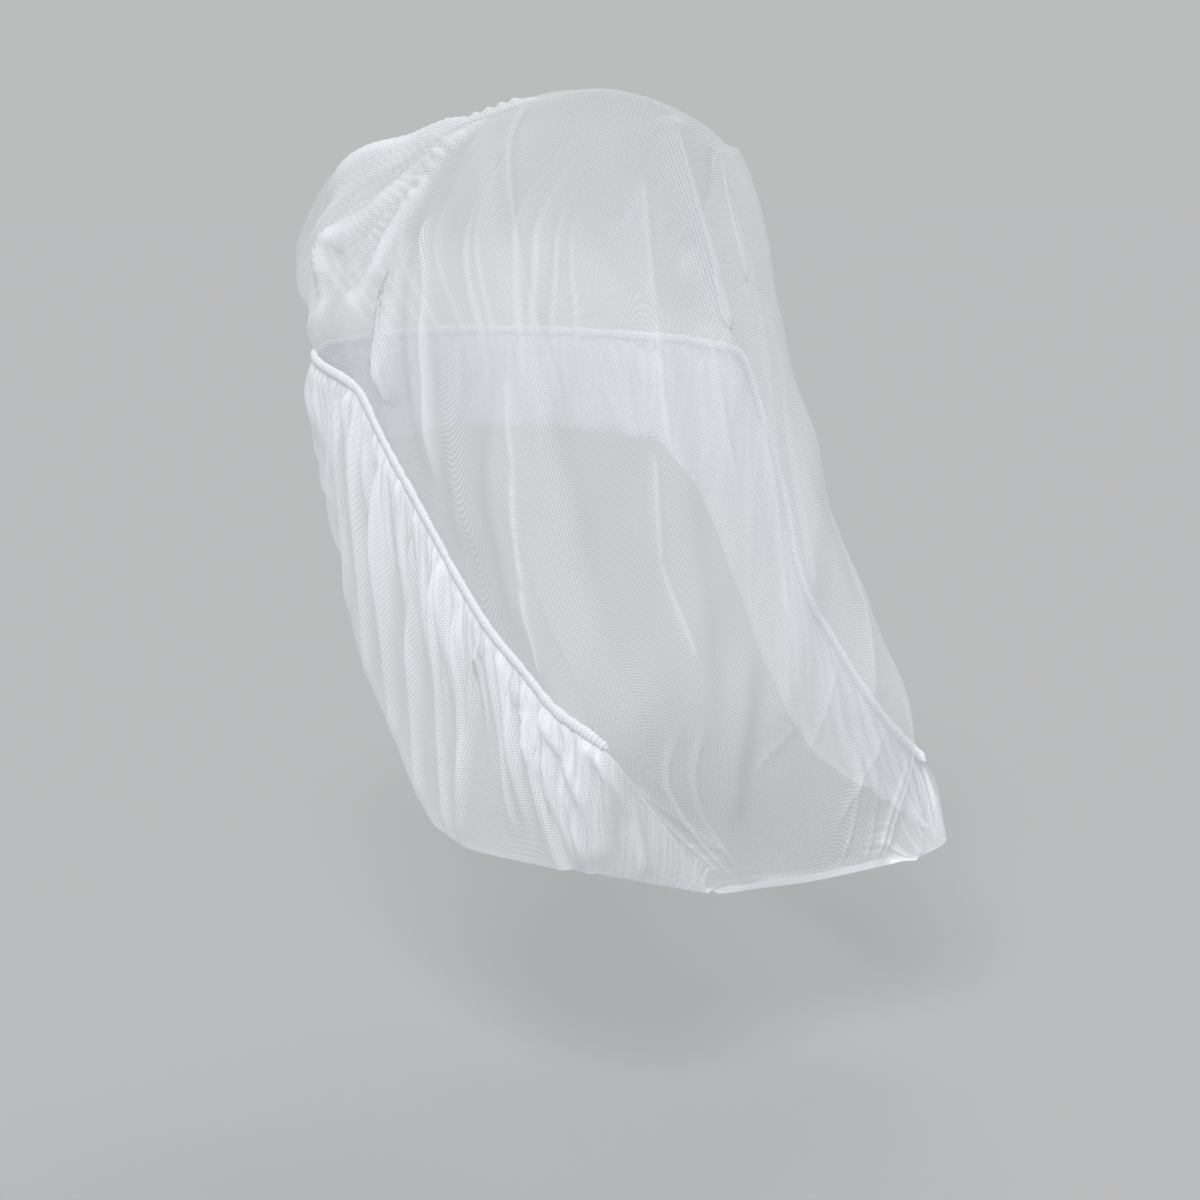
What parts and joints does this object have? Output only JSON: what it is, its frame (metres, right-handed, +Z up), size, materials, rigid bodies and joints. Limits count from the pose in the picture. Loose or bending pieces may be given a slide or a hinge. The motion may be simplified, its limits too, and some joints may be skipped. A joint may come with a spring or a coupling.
{
  "type": "stroller mosquito net",
  "caption": "White tulle mosquito net for a stroller: a hollow drape with loose folds, a hemmed front edge and an open edge gathered by a ruched elastic casing.",
  "frame": {"origin": "top of the brow, where the net lies over the front edge of what it covers", "axes": "+Z up as the net hangs, the front faces -Y, X runs across the net"},
  "size_m": [0.5389, 0.7476, 0.7794],
  "materials": {
    "white_tulle": "matt see-through netting",
    "white_elastic_casing": "matt, ruched"
  },
  "bodies": {
    "root": {"net": "white_tulle", "elastic_casing": "white_elastic_casing"}
  },
  "joints": []
}
